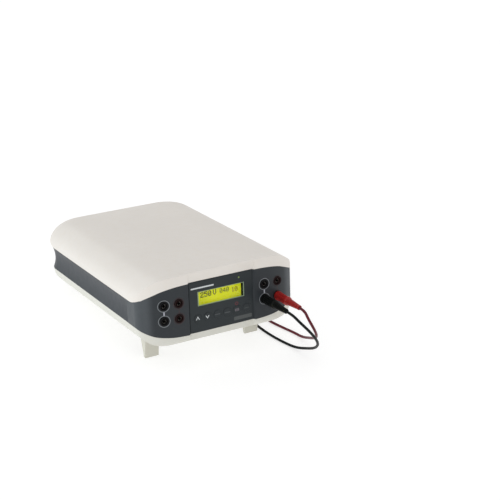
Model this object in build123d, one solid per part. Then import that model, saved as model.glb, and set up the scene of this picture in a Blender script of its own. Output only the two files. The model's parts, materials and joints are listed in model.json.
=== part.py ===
from build123d import *
import math
import os

# Bench power supply for gel electrophoresis, in millimetres.
# The case is drawn level in its own frame: x to the right seen from the front,
# y to the back (y = 0 is the recessed keypad face), z up from the flat underside.
# Every piece of the unit is then leaned back by TILT, as it stands on its two
# opened front legs, and put over the origin. The leads lie in the final frame.

os.makedirs("parts", exist_ok=True)

# ---- driving dimensions -------------------------------------------------
HALF_W = 106.0          # half width of the case
Y_FRONT = -3.0          # front of the wings
Y_BACK = 302.0          # back of the case
H_CASE = 87.0           # underside to crown
WALL = 2.5              # shell thickness
FRONT_C1X, FRONT_R1, FRONT_A1 = 64.0, 62.0, 37.0   # gentle curve of the wing
COVER_OUT = 1.6         # how far the cover bulges beyond the band
REAR_R = 38.0           # rear corners in plan
BAND_LO, BAND_HI = 25.9, 55.1   # grey band at the sides
SEAM_Y = 38.0           # where the front moulding ends and the side rail begins
GAP = 0.2               # shut line between mouldings
RECESS_X = 43.0         # half width of the recessed centre
TILT = 6.9              # lean of the case on its opened legs, degrees
FOOT_H = 6.0            # rubber feet
REAR_FOOT_Y, FOOT_R, FOOT_EDGE = 272.0, 6.5, 2.0
Y_SHIFT = -154.165      # puts the middle of the unit over the origin
# the rounded edge of the rear feet is the lowest point of the leaned case
Z_SHIFT = ((REAR_FOOT_Y + FOOT_R - FOOT_EDGE) * math.sin(math.radians(TILT))
           + (FOOT_H - FOOT_EDGE) * math.cos(math.radians(TILT)) + FOOT_EDGE)

SOCKET_X = (58.0, 77.0)     # 19 mm pitch both ways
SOCKET_Z = (33.7, 52.7)
KEY_X = (-32.5, -19.2, -5.9, 7.4, 20.7, 34.0)
KEY_Z = 27.0
KEY_TRAVEL = 0.5
LCD_Z = 51.3
LEG_X = 69.9            # middle of each leg
LEG_W = 18.3
HINGE_Y, HINGE_Z = 54.0, 5.0
LEAD_D = 3.4


# ---- small helpers -------------------------------------------------------
def box(x0, x1, y0, y1, z0, z1):
    return Pos((x0 + x1) / 2, (y0 + y1) / 2, (z0 + z1) / 2) * Box(x1 - x0, y1 - y0, z1 - z0)


def cyl_x(y, z, x0, x1, r):
    return Pos((x0 + x1) / 2, y, z) * Rot(0, 90, 0) * Cylinder(r, x1 - x0)


def cyl_y(x, z, y0, y1, r):
    return Pos(x, (y0 + y1) / 2, z) * Rot(-90, 0, 0) * Cylinder(r, y1 - y0)


def cyl_z(x, y, z0, z1, r):
    return Pos(x, y, (z0 + z1) / 2) * Cylinder(r, z1 - z0)


def face_of(edges):
    return Face(Wire(edges))


def arc3(cx, cy, r, a0, a1, z=0.0):
    p = [(cx + r * math.cos(math.radians(a)), cy + r * math.sin(math.radians(a)), z)
         for a in (a0, (a0 + a1) / 2, a1)]
    return ThreePointArc(*p)


def polygon(points, normal_axis, at):
    """Closed polygon in the plane normal to the named axis."""
    if normal_axis == "x":
        pts = [(at, p[0], p[1]) for p in points]
    elif normal_axis == "y":
        pts = [(p[0], at, p[1]) for p in points]
    else:
        pts = [(p[0], p[1], at) for p in points]
    return face_of([Line(pts[i], pts[(i + 1) % len(pts)]) for i in range(len(pts))])


def prism(points, axis, lo, hi):
    d = {"x": (1, 0, 0), "y": (0, 1, 0), "z": (0, 0, 1)}[axis]
    return extrude(polygon(points, axis, lo), hi - lo, dir=d)


def offset_curve(points, d):
    """Points moved by d to the left of their direction of travel."""
    out = []
    n = len(points)
    for i, (x, y) in enumerate(points):
        x0, y0 = points[max(i - 1, 0)]
        x1, y1 = points[min(i + 1, n - 1)]
        dx, dy = x1 - x0, y1 - y0
        k = math.hypot(dx, dy)
        out.append((x - dy / k * d, y + dx / k * d))
    return out


placed = Pos(0, Y_SHIFT, Z_SHIFT) * Rot(-TILT, 0, 0)
made = {}


def save(name, *items, level=False):
    solids = []
    for it in items:
        it = it if level else placed * it
        solids.extend(it.solids())
    made[name] = solids
    export_step(Compound(solids), "parts/%s.step" % name)


# ---- plan outline of the case -------------------------------------------
A1 = math.radians(FRONT_A1)
C1 = (FRONT_C1X, Y_FRONT + FRONT_R1)
C3 = (HALF_W - REAR_R, Y_BACK - REAR_R)


def corner(half_width):
    """Radius and middle of the front corner that meets a side at half_width."""
    r = (half_width - FRONT_C1X - FRONT_R1 * math.sin(A1)) / (1 - math.sin(A1))
    return r, C1[0] + (FRONT_R1 - r) * math.sin(A1), C1[1] - (FRONT_R1 - r) * math.cos(A1)


FRONT_R2, C2X, C2Y = corner(HALF_W)
C2 = (C2X, C2Y)


def outline_edges(i=0.0, w=HALF_W):
    """Right half of the plan outline, from the front middle to the back middle, i mm inside."""
    a = -90 + FRONT_A1
    rc, cx, cy = corner(w)
    r1, r2, r3 = FRONT_R1 - i, rc - i, REAR_R - i
    e = [Line((0, Y_FRONT + i), (C1[0], Y_FRONT + i)),
         arc3(C1[0], C1[1], r1, -90, a),
         arc3(cx, cy, r2, a, 0),
         Line((w - i, cy), (w - i, C3[1])),
         arc3(w - REAR_R, C3[1], r3, 0, 90),
         Line((w - REAR_R, C3[1] + r3), (0, C3[1] + r3))]
    return e


def plan_prism(i, z0, z1, w=HALF_W):
    half = face_of(outline_edges(i, w) + [Line((0, Y_BACK - i), (0, Y_FRONT + i))])
    s = extrude(Pos(0, 0, z0) * half, z1 - z0, dir=(0, 0, 1))
    return s + mirror(s, Plane.YZ)


# ---- rounded shells of the cover and of the base ---------------------------
# levels: height, half width, rear y, rear corner radius; the front is cut off later
TOP_LEVELS = [(54.5, 106, 302, 38), (56.6, 107.2, 303, 37.8), (60, 107.5, 304, 37), (64, 106.4, 304.5, 36.4),
              (68, 104.4, 304.4, 35.6), (72, 101.2, 303.6, 34), (75, 97.8, 302.3, 32.4), (78, 93.6, 300, 30.5),
              (80.5, 89.5, 297, 28.8), (82.5, 85.6, 293, 27.7), (84, 81.0, 287.9, 27.2), (85.2, 74, 279.1, 26.8),
              (86.2, 60.4, 264.4, 26.3), (86.8, 40, 247, 26), (87.0, 28, 238, 25.5)]
LOW_LEVELS = [(30, 106, 302, 38), (25.5, 106, 302, 38), (20.5, 105.5, 301.7, 38), (16.2, 104, 300.2, 38),
              (11.6, 100, 296.6, 38.5), (7.2, 94, 291, 39.5), (3.7, 86, 284.5, 41.5), (1.4, 76.5, 277, 44), (0.0, 63, 267, 46)]


def resampled(levels, n):
    """The same shell in n levels, evenly spaced along its profile."""
    path = Spline([(v[1], v[2], v[0]) for v in levels])
    out = []
    for k in range(n):
        q = path @ (k / (n - 1))
        z = min(max(q.Z, min(levels[0][0], levels[-1][0])), max(levels[0][0], levels[-1][0]))
        for a, b in zip(levels, levels[1:]):
            if min(a[0], b[0]) <= z <= max(a[0], b[0]):
                out.append((z, q.X, q.Y, a[3] + (z - a[0]) / (b[0] - a[0]) * (b[3] - a[3])))
                break
    out[0], out[-1] = levels[0], levels[-1]
    return out


def level_wire(z, x, y, r, y_front=-90.0):
    k = r * math.cos(math.radians(45))
    cx = x - r
    return Wire([Line((-cx, y, z), (cx, y, z)),
                 ThreePointArc((cx, y, z), (cx + k, y - r + k, z), (x, y - r, z)),
                 Line((x, y - r, z), (x, y_front + r, z)),
                 ThreePointArc((x, y_front + r, z), (cx + k, y_front + r - k, z), (cx, y_front, z)),
                 Line((cx, y_front, z), (-cx, y_front, z)),
                 ThreePointArc((-cx, y_front, z), (-cx - k, y_front + r - k, z), (-x, y_front + r, z)),
                 Line((-x, y_front + r, z), (-x, y - r, z)),
                 ThreePointArc((-x, y - r, z), (-cx - k, y - r + k, z), (-cx, y, z))])


def inward(levels, i, side):
    """Levels moved i mm inwards along the shell's normal."""
    px = offset_curve([(v[1], v[0]) for v in levels], side * i)
    py = offset_curve([(v[2], v[0]) for v in levels], side * i)
    return [((a[1] + b[1]) / 2, a[0], b[0], max(v[3] - 0.6 * i, 5)) for a, b, v in zip(px, py, levels)]


def front_cut(i, z0, z1, w=HALF_W):
    """Everything in front of the curved front wall."""
    return box(-130, 130, -95, corner(w)[2], z0, z1) - plan_prism(i, z0 - 5, z1 + 5, w)


TOP_SHELL, LOW_SHELL = resampled(TOP_LEVELS, 15), resampled(LOW_LEVELS, 12)


def cover_hull(i):
    lv = inward(TOP_SHELL, i, 1) if i else list(TOP_SHELL)
    lv[0] = (50.0 if i else BAND_HI, HALF_W - i, Y_BACK - i, REAR_R - i)
    return Solid.make_loft([level_wire(*v) for v in lv]) - front_cut(i, 40, 99, HALF_W + COVER_OUT)


LIP_R = 8.6


def low_front(i):
    """What the rounded lower edge takes away, all round the front wall."""
    r, u, z = LIP_R - i, LIP_R - 0.15, LIP_R - 0.15
    k = math.sqrt(0.5)

    def face(x, y):
        """Section with the wall's outside at y, in the plane of x."""
        c = y + u
        a = ThreePointArc((x, c - r, z), (x, c - r * k, z - r * k), (x, c, z - r))
        return face_of([a, Line((x, c, z - r), (x, c, -9)), Line((x, c, -9), (x, y - 6, -9)),
                        Line((x, y - 6, -9), (x, y - 6, z)), Line((x, y - 6, z), (x, c - r, z))])

    turn = Pos(C2[0], C2[1], 0) * Rot(0, 0, FRONT_A1) * Pos(-C2[0], -C2[1], 0)
    out = [extrude(face(-C1[0], Y_FRONT), 2 * C1[0], dir=(1, 0, 0))]
    for piece in (revolve(face(C1[0], Y_FRONT), Axis((C1[0], C1[1], 0), (0, 0, 1)), FRONT_A1),
                  revolve(turn * face(C2[0], C2[1] - FRONT_R2), Axis((C2[0], C2[1], 0), (0, 0, 1)), 90 - FRONT_A1)):
        out += [piece, mirror(piece, Plane.YZ)]
    return out


def base_hull(i, z_top):
    lv = inward(LOW_SHELL, i, -1) if i else list(LOW_SHELL)
    lv[0] = (z_top, HALF_W - i, Y_BACK - i, REAR_R - i)
    lv[-1] = (i, lv[-1][1], lv[-1][2], lv[-1][3])
    hull = Solid.make_loft([level_wire(*v) for v in lv]) - front_cut(i, -20, z_top + 5)
    for piece in low_front(i):
        hull = hull - piece
    return hull


# ---- the two curved shut lines of the front band --------------------------
BAND_TOP = [(0, 74.3), (45, 74.2), (58, 73.8), (67, 73.1), (75, 71.8), (82, 69.9), (87, 67.9),
            (91.4, 66.0), (96.1, 63.8), (101, 61.2), (103.8, 59.0), (105.3, 57.1), (106, BAND_HI)]
BAND_BOT = [(0, 9.4), (45, 9.6), (58, 10.2), (66, 11.0), (74, 12.2), (82, 13.6), (88, 15.1),
            (93.7, 17.4), (98.3, 19.9), (103.2, 23.2), (105.3, 25.1), (106, BAND_LO)]


def shut_line(points, dz, z_far, y0, y1):
    """Solid between a shut line moved by dz and the level z_far, over the whole width."""
    pts = [(x, z + dz) for x, z in points]
    s = Spline([(x, y0, z) for x, z in pts], tangents=[(1, 0, 0), (0.36, 0, -0.93) if z_far < 40 else (0.7, 0, 0.7)])
    x1, z1 = pts[-1]
    xe = x1 + 6
    f = face_of([s, Line((x1, y0, z1), (xe, y0, z1)), Line((xe, y0, z1), (xe, y0, z_far)),
                 Line((xe, y0, z_far), (0, y0, z_far)), Line((0, y0, z_far), (0, y0, pts[0][1]))])
    e = extrude(f, y1 - y0, dir=(0, 1, 0))
    return e + mirror(e, Plane.YZ)


below_top_line = shut_line(BAND_TOP, 0.0, -10, -12, SEAM_Y)
above_low_line = shut_line(BAND_BOT, 0.0, 99, -12, SEAM_Y)
# the top line already climbs on the side, from the seam forwards: y and height over BAND_HI
RISE = [(SEAM_Y, 0.0), (33.0, 0.25), (28.0, 0.95), (23.0, 1.95), (18.0, 3.15), (14.0, 4.3), (9.9, 6.0)]


def side_rise(dz):
    """Extra band under the top line beside the front corners, as solids left and right."""
    z, end = BAND_HI + dz, RISE[-1]
    top = Spline([(95, y, z + h) for y, h in RISE], tangents=[(0, -1, 0), (0, -0.91, 0.41)])
    f = face_of([top, Line((95, end[0], z + end[1]), (95, end[0], z - 6)), Line((95, end[0], z - 6), (95, SEAM_Y, z - 6)),
                 Line((95, SEAM_Y, z - 6), (95, SEAM_Y, z))])
    e = extrude(f, 20, dir=(1, 0, 0))
    return [e, mirror(e, Plane.YZ)]


# ---- top cover -------------------------------------------------------------
cover_outer = cover_hull(0)
cover = cover_outer - cover_hull(WALL)
# the recess of the keypad runs out upwards in the lip
step_out = [(-47, -6), (47, -6), (RECESS_X, 0), (-RECESS_X, 0)]
lip_wedge = prism([(-6, 73), (0.25, 73), (-3.2, 86)], "x", -60, 60) & prism(step_out, "z", 70, 90)
cover = cover + (box(-49, 49, -2.9, 3.2, 70, 83) & cover_outer)
cover = cover - lip_wedge - below_top_line
for piece in side_rise(0.0):
    cover = cover - piece
SCREW_XY = [(-88, 120), (88, 120), (-88, 258), (88, 258)]
for x, y in SCREW_XY:
    post = cyl_z(x, y, 24.8, 90, 4.5) & cover_outer
    cover = cover + post
    cover = cover - cyl_z(x, y, 20, 52, 2.05)
REAR_SCREW_X = 63.5
for x in (-REAR_SCREW_X, REAR_SCREW_X):
    cover = cover + box(x - 4, x + 4, 291.5, 299.0, 44.6, 62)
    cover = cover - cyl_y(x, 49.4, 290, 303, 1.3)
save("top_cover", cover)

# ---- base pan ----------------------------------------------------------------
base_outer = base_hull(0, 30)
base = base_outer - base_hull(WALL, 31)
base = base + (box(-49, 49, -2.9, 3.2, 0, 12) & base_outer)
base = base - prism([(x, y - 0.02) for x, y in step_out], "z", -2, 12)
base = base - above_low_line - box(-120, 120, SEAM_Y - 0.01, 320, BAND_LO, 60)
base = base - box(-68.0, 68.0, 296, 320, 14, 60)
for x, y in SCREW_XY:
    base = base + (cyl_z(x, y, -2, 24.4, 5.2) & base_outer)
    base = base - cyl_z(x, y, -5, 26, 2.3) - cyl_z(x, y, -6, 8.0, 4.3)
POCKET = dict(x=9.6, y0=49.1, y1=96.5, z=18.6)
for s in (-1, 1):
    cx = s * LEG_X
    block = box(cx - 12.3, cx + 12.3, 46.6, 98.6, -1, 20.6) & base_outer
    base = base + block
    base = base - box(cx - POCKET["x"], cx + POCKET["x"], POCKET["y0"], POCKET["y1"], -5, POCKET["z"])
    base = base - cyl_x(HINGE_Y, HINGE_Z, cx - 12.4, cx + 12.4, 1.52)
for x in (-REAR_SCREW_X, REAR_SCREW_X):
    base = base + (box(x - 4, x + 4, 291.5, 299.0, 8.5, 24) & base_outer)
    base = base - cyl_y(x, 19.0, 290, 303, 1.3)
FEET_XY = [(-52, 29), (52, 29), (-60, REAR_FOOT_Y), (60, REAR_FOOT_Y)]
for x, y in FEET_XY:
    base = base - cyl_z(x, y, -3, 9, 1.6)
# narrow air slots in the floor, between the feet
for k in range(7):
    base = base - box(-34, 34, 120 + 10 * k, 122.6 + 10 * k, -2, 4)
BOARD_SCREWS = [(-68, 112), (68, 112), (-68, 180), (68, 180), (-68, 244), (68, 244)]
save("base_pan", base)

# ---- side rails: hollow-faced strips wrapping the rear corners -----------------
def rail_section(x_side):
    z0, z1 = BAND_LO + GAP, BAND_HI - GAP
    zm = (z0 + z1) / 2
    o = ThreePointArc((x_side, 0, z0), (x_side - 3.0, 0, zm), (x_side, 0, z1))
    n = ThreePointArc((x_side - 2.3, 0, z1), (x_side - 5.3, 0, zm), (x_side - 2.3, 0, z0))
    return face_of([o, Line((x_side, 0, z1), (x_side - 2.3, 0, z1)), n, Line((x_side - 2.3, 0, z0), (x_side, 0, z0))])


rail_long = extrude(Pos(0, SEAM_Y + GAP, 0) * rail_section(HALF_W), C3[1] - SEAM_Y - GAP, dir=(0, 1, 0))
rail_turn = Pos(C3[0], C3[1], 0) * revolve(rail_section(REAR_R), Axis.Z, 90)
rail_right = rail_long + rail_turn
rail_left = mirror(rail_right, Plane.YZ)
save("side_rail_right", rail_right)
save("side_rail_left", rail_left)

# ---- front panel: curved wings and a recessed centre ----------------------------
band = shut_line(BAND_TOP, -GAP, -20, -12, SEAM_Y)
for piece in side_rise(-GAP):
    band = band + piece
band = band & shut_line(BAND_BOT, GAP, 99, -12, SEAM_Y)
wing_ring = plan_prism(0, 2, 80) - plan_prism(3.0, 0, 82)
step_in = [(-48.6, 0), (48.6, 0), (44.4, 3), (-44.4, 3)]
front = wing_ring - prism(step_out, "z", 0, 85)
front = front + prism(step_in, "z", 3, 79)
front = front - prism(step_out, "z", 0, 85)
for s in (-1, 1):
    pad = box(min(s * 49, s * 86.5), max(s * 49, s * 86.5), -4, 4.2, 24.6, 61.8) & plan_prism(0.5, 0, 80)
    front = front + pad
front = front & band
SOCKETS = []
for s in (-1, 1):
    for k, x in enumerate(SOCKET_X):
        seat = (-2.0, -0.6)[k]
        for z in SOCKET_Z:
            SOCKETS.append((s * x, z, seat))
            front = front - cyl_y(s * x, z, -8, 6, 4.95) - cyl_y(s * x, z, -8, seat, 6.0)
# display window with a rebate for its lens
front = front - box(-32.75, 32.75, -2, 5, LCD_Z - 10.25, LCD_Z + 10.25)
front = front - box(-35.0, 35.0, -2, 1.25, LCD_Z - 12.0, LCD_Z + 12.0)
for x in KEY_X:
    front = front - cyl_y(x, KEY_Z, -2, 1.0, 5.6) - cyl_y(x, KEY_Z, -2, 5, 2.3)
LCD_POSTS = [(sx * 37.8, LCD_Z + sz * 15.6) for sx in (-1, 1) for sz in (-1, 1)]
KEY_POSTS = [(-39.6, 21.0), (39.8, 21.0)]
for x, z in LCD_POSTS:
    front = front + cyl_y(x, z, 2.5, 8.6, 2.2) - cyl_y(x, z, 3.2, 8.7, 1.05)
for x, z in KEY_POSTS:
    front = front + cyl_y(x, z, 2.5, 9.0, 2.2) - cyl_y(x, z, 3.2, 9.1, 1.05)
save("front_panel", front)

# ---- keypad overlay, keys, display ------------------------------------------------
overlay = box(-42.7, 42.7, -0.5, 0.0, 10.6, 73.4)
overlay = overlay - box(-31.7, 31.7, -1, 1, LCD_Z - 9.25, LCD_Z + 9.25)
for x in KEY_X:
    overlay = overlay - cyl_y(x, KEY_Z, -1, 1, 5.4)
save("keypad_overlay", overlay & band)
save("display_lens", box(-34.8, 34.8, 0.02, 1.22, LCD_Z - 11.8, LCD_Z + 11.8))
KEY_NAMES = ("key_up", "key_down", "key_mode", "key_enter", "key_stop", "key_start")
for name, x in zip(KEY_NAMES, KEY_X):
    pad = cyl_y(x, KEY_Z, -0.95, -0.05, 5.2)
    pad = chamfer(pad.edges().filter_by(GeomType.CIRCLE).sort_by(Axis.Y)[0], 0.3)
    save(name, pad + cyl_y(x, KEY_Z, -0.1, 4.65, 2.0))
bezel = box(-35.6, 35.6, 3.05, 8.55, LCD_Z - 13.5, LCD_Z + 13.5)
bezel = bezel - box(-32.4, 32.4, 3, 4, LCD_Z - 9.8, LCD_Z + 9.8) - box(-35.0, 35.0, 3.65, 9, LCD_Z - 12.9, LCD_Z + 12.9)
save("display_bezel", bezel)
save("display_panel", box(-34.8, 34.8, 3.7, 8.5, LCD_Z - 12.7, LCD_Z + 12.7))
lcd_board = box(-40.5, 40.5, 8.62, 10.22, LCD_Z - 18.0, LCD_Z + 18.0)
key_board = box(-42.0, 42.0, 9.02, 10.62, 17.0, 33.0)
for x, z in LCD_POSTS:
    lcd_board = lcd_board - cyl_y(x, z, 8, 11, 1.3)
for x, z in KEY_POSTS:
    key_board = key_board - cyl_y(x, z, 8, 11, 1.3)
save("display_board", lcd_board)
save("key_board", key_board)
switches = [box(x - 3, x + 3, 5.6, 9.0, KEY_Z - 3, KEY_Z + 3) + cyl_y(x, KEY_Z, 5.2, 5.7, 1.7) for x in KEY_X]
save("key_switches", *switches)
screws = []
for x, z in LCD_POSTS:
    screws.append(cyl_y(x, z, 4.0, 10.3, 1.0) + cyl_y(x, z, 10.26, 11.8, 2.1))
for x, z in KEY_POSTS:
    screws.append(cyl_y(x, z, 4.0, 10.7, 1.0) + cyl_y(x, z, 10.66, 12.2, 2.1))
save("panel_screws", *screws)

# ---- 4 mm safety sockets ------------------------------------------------------------
def socket_body(x, z, seat):
    b = cyl_y(x, z, seat - 1.8, seat, 5.7) + cyl_y(x, z, seat - 0.2, seat + 25.0, 4.75)
    b = b - (cyl_y(x, z, seat - 3, seat + 20.0, 4.25) - cyl_y(x, z, seat - 4, seat + 21, 3.1))
    b = b - cyl_y(x, z, seat - 3, seat + 26, 2.55)
    return b


def socket_contact(x, z, seat):
    c = cyl_y(x, z, seat - 0.6, seat + 26.0, 2.5) - cyl_y(x, z, seat - 2, seat + 20.5, 2.04)
    return c + cyl_y(x, z, seat + 25.5, seat + 34.0, 1.2)


def socket_nut(x, z, seat):
    hexa = Pos(x, 4.25, z) * Rot(-90, 0, 0) * extrude(RegularPolygon(7.4, 6), 3.0)
    return hexa - cyl_y(x, z, 3, 8, 4.85)


black, red, contacts, nuts = [], [], [], []
for x, z, seat in SOCKETS:
    # the left column of each cluster is black, the right one red
    (black if x in (-SOCKET_X[1], SOCKET_X[0]) else red).append(socket_body(x, z, seat))
    contacts.append(socket_contact(x, z, seat))
    nuts.append(socket_nut(x, z, seat))
save("sockets_black", *black)
save("sockets_red", *red)
save("socket_contacts", *contacts)
save("socket_nuts", *nuts)
boards = []
for s in (-1, 1):
    cx, cz = s * 67.5, 43.2
    b = box(cx - 17, cx + 17, 30.0, 31.6, cz - 17, cz + 17)
    for x, z, seat in SOCKETS:
        if x * s > 0:
            b = b - cyl_y(x, z, 29, 33, 1.3)
    boards.append(b)
save("output_boards", *boards)

# ---- main board and what stands on it --------------------------------------------------
BOARD_Z = 23.0
main = box(-76, 76, 104, 252, BOARD_Z, BOARD_Z + 1.6)
standoffs, bscrews = [], []
for x, y in BOARD_SCREWS:
    main = main - cyl_z(x, y, 20, 28, 1.7)
    standoffs.append(cyl_z(x, y, 2.0, BOARD_Z - 0.02, 3.6) - cyl_z(x, y, 8, 30, 1.3) - base)
    bscrews.append(cyl_z(x, y, 12, BOARD_Z + 1.7, 1.25) + cyl_z(x, y, BOARD_Z + 1.62, BOARD_Z + 3.8, 2.9))
save("main_board", main)
save("board_standoffs", *standoffs)
save("board_screws", *bscrews)
TOPB = BOARD_Z + 1.62
core = box(-62, 2, 146, 174, TOPB, TOPB + 54)
core = core - box(-51.2, -40.7, 140, 180, TOPB + 11, TOPB + 43) - box(-19.3, -8.8, 140, 180, TOPB + 11, TOPB + 43)
save("transformer_core", core)
coil = box(-50.7, -9.3, 135, 185, TOPB + 11.4, TOPB + 42.6) - box(-40.9, -19.1, 145.8, 174.2, TOPB + 10, TOPB + 44)
save("transformer_coil", coil)
sink = box(-60, 60, 228, 232, TOPB, TOPB + 42)
for k in range(13):
    sink = sink + box(-60 + k * 9.75, -57 + k * 9.75, 231, 247, TOPB, TOPB + 42)
save("heat_sink", sink)
trans = [box(x - 8, x + 8, 222.8, 227.9, TOPB + 8, TOPB + 29) + box(x - 0.7, x + 0.7, 224, 225.4, TOPB, TOPB + 8.2) for x in (-42, -14, 14, 42)]
save("power_transistors", *trans)
save("capacitors", *[cyl_z(x, y, TOPB, TOPB + h, r) for x, y, h, r in
                     ((28, 135, 40, 12.5), (56, 135, 40, 12.5), (28, 162, 32, 9), (54, 162, 32, 9))])
ring = (Pos(40, 196, TOPB + 9) * Cylinder(17, 17.8)) - (Pos(40, 196, TOPB + 9) * Cylinder(8, 20))
save("choke", ring)
TERM_Y = 108.0
save("terminal_blocks", *[box(s * 40 - 11, s * 40 + 11, TERM_Y, TERM_Y + 11, TOPB, TOPB + 13) for s in (-1, 1)],
     box(-70, -48, 212, 222, TOPB, TOPB + 13))


def tube(points, d, radii=None):
    n = len(points)
    v = [Vector(*p) for p in points]
    rs = []
    for i in range(1, n - 1):
        a, b = v[i] - v[i - 1], v[i + 1] - v[i]
        turn = math.radians(a.get_angle(b))
        rs.append(0.45 * min(a.length, b.length) / math.tan(turn / 2))
    w = FilletPolyline(*points, radius=rs)
    sec = Plane(origin=w @ 0, z_dir=w % 0) * Circle(d / 2)
    return sweep(sec, path=w), w, rs


wires = []
for s in (-1, 1):
    for k, dz in enumerate((-3.0, 3.0)):
        x0 = s * (55.5 + 4 * k)
        pts = [(x0, 31.62, 41 + dz), (x0, 44, 41 + dz), (x0 - s * 3, 62, 37.5 + dz / 2), (s * (41 + 6 * k), 82, 33 + dz / 3),
               (s * (40 + 6 * k), 97, 31), (s * (40 + 6 * k), TERM_Y - 0.02, 31)]
        wires.append(tube(pts, 2.4)[0])
save("output_wires", *wires)
ribbon_path = [(10.25, 44), (22, 44), (40, 40), (70, 32), (96, 31), (107, 29.2), (111, 26.2)]
rib_hi = offset_curve(ribbon_path, 0.5)
rib_lo = offset_curve(ribbon_path, -0.5)
rib_hi[0], rib_lo[0] = (10.25, 44.5), (10.25, 43.5)
ribbon = prism(rib_hi + rib_lo[::-1], "x", -13, 13)
save("ribbon_cable", ribbon)
save("ribbon_header", box(-14.5, 14.5, 107, 115, TOPB, TOPB + 5) - (Pos(0, 0, 0) * prism(offset_curve(ribbon_path, 0.55) + offset_curve(ribbon_path, -0.55)[::-1], "x", -13.1, 13.1)))

# ---- rear panel and what is in it ----------------------------------------------------
rear = box(-67.7, 67.7, 299.2, 301.7, 14.2, 54.9)
rear = rear - box(-51.6, -24.2, 298, 303, 24.0, 44.0)      # mains inlet
rear = rear - box(-17.0, -1.0, 298, 303, 24.0, 44.0)       # fuse holder
rear = rear - box(9.0, 22.0, 298, 303, 24.5, 43.5)         # switch
for k in range(7):
    rear = rear - box(31 + 4.6 * k, 33.4 + 4.6 * k, 298, 303, 22, 46)
for x in (-REAR_SCREW_X, REAR_SCREW_X):
    for z in (19.0, 49.4):
        rear = rear - cyl_y(x, z, 298, 303, 1.6)
save("rear_panel", rear)
save("rear_screws", *[cyl_y(x, z, 292.5, 301.8, 1.25) + cyl_y(x, z, 301.72, 303.6, 2.8)
                      for x in (-REAR_SCREW_X, REAR_SCREW_X) for z in (19.0, 49.4)])
INX = -37.9
inlet = box(INX - 15.5, INX + 15.5, 301.72, 303.7, 21.6, 46.4) + box(INX - 13.6, INX + 13.6, 282.5, 301.8, 24.1, 43.9)
inlet = inlet - prism([(INX - 12, 26), (INX + 12, 26), (INX + 12, 38), (INX + 8.5, 42), (INX - 8.5, 42), (INX - 12, 38)], "y", 287, 305)
BLADES = ((-7, -1.5), (7, -1.5), (0, 2.5))
for dx, dz in BLADES:
    inlet = inlet - box(INX + dx - 1.0, INX + dx + 1.0, 276, 290, 34 + dz - 2.0, 34 + dz + 2.0)
save("mains_inlet", inlet)
save("inlet_blades", *[box(INX + dx - 0.98, INX + dx + 0.98, 276.5, 297.0, 34 + dz - 1.98, 34 + dz + 1.98)
                       for dx, dz in BLADES])
FX = -9.0
holder = box(FX - 9.6, FX + 9.6, 301.72, 303.4, 22.4, 45.6) + box(FX - 7.9, FX + 7.9, 272.0, 301.8, 24.1, 43.9)
holder = holder - box(FX - 6.8, FX + 6.8, 274.0, 305, 25.4, 42.6)
save("fuse_holder", holder)
drawer = box(FX - 6.5, FX + 6.5, 276.0, 303.4, 25.7, 42.3) + box(FX - 8.6, FX + 8.6, 303.44, 305.4, 23.6, 44.4)
drawer = drawer + box(FX - 6.5, FX + 6.5, 303.3, 303.5, 25.7, 42.3)
for z in (30.0, 38.0):
    drawer = drawer - box(FX - 7.0, FX + 7.0, 278.0, 299.0, z - 3.0, z + 3.0)
save("fuse_drawer", drawer)
save("fuses", *[cyl_y(FX, z, 278.5, 298.5, 2.55) for z in (30.0, 38.0)])
SX = 15.5
housing = box(SX - 7.5, SX + 7.5, 301.72, 303.4, 22.8, 45.2) + box(SX - 6.4, SX + 6.4, 284.0, 301.8, 24.6, 43.4)
housing = housing - box(SX - 5.4, SX + 5.4, 290.0, 305, 25.4, 42.6)
housing = housing - cyl_x(299.5, 34.0, SX - 6.0, SX + 6.0, 1.35)
save("switch_housing", housing)
ROCK_Y, ROCK_Z = 299.5, 34.0
# one end stands out and the other is pressed in; a turn of 16 degrees swaps them
rocker = prism([(ROCK_Y + p, ROCK_Z + q) for p, q in
                ((-6.3, -2.0), (-6.3, 2.0), (0.0, 6.9), (6.8, 6.6), (4.55, -0.64), (4.72, -8.2), (-1.9, -6.63))],
               "x", SX - 5.2, SX + 5.2)
rocker = rocker + cyl_x(ROCK_Y, ROCK_Z, SX - 5.9, SX + 5.9, 1.28)
save("switch_rocker", rocker)
save("case_screws", *[cyl_z(x, y, 7.9, 46, 1.98) + cyl_z(x, y, 5.4, 7.98, 3.8) for x, y in SCREW_XY])

# ---- feet and tilt legs ----------------------------------------------------------------
feet = []
for x, y in FEET_XY:
    f = cyl_z(x, y, -FOOT_H, 4.0, FOOT_R)
    f = fillet(f.edges().filter_by(GeomType.CIRCLE).sort_by(Axis.Z)[0], FOOT_EDGE)
    f = f - base_outer
    feet.append(f + cyl_z(x, y, -1.0, 7.5, 1.5))
save("rubber_feet", *feet)
LEG_SIDE = [(49.6, 6.0), (49.5, 2.0), (54.7, -33.0), (55.7, -40.0), (58.3, -40.0), (57.8, -33.0), (64.8, -8.0),
            (63.0, -1.0), (58.4, 4.4)]


def leg(cx):
    h = LEG_W / 2
    body = prism(LEG_SIDE, "x", cx - h, cx + h) + cyl_x(HINGE_Y, HINGE_Z, cx - h, cx + h, 4.5)
    body = body - cyl_x(HINGE_Y, HINGE_Z, cx - h - 1, cx + h + 1, 1.58)
    # hollow at the back, between two webs
    body = body - prism([(59.5, -1.5), (53.5, -6.0), (56.7, -27.5), (70, -27.5), (70, -1.5)], "x", cx - h + 2.6, cx + h - 2.6)
    body = placed * body
    return body - Pos(0, 0, -30) * Box(600, 900, 60)


save("tilt_leg_left", leg(-LEG_X), level=True)
save("tilt_leg_right", leg(LEG_X), level=True)
save("hinge_pins", *[cyl_x(HINGE_Y, HINGE_Z, s * LEG_X - 12.2, s * LEG_X + 12.2, 1.5) for s in (-1, 1)])

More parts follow.
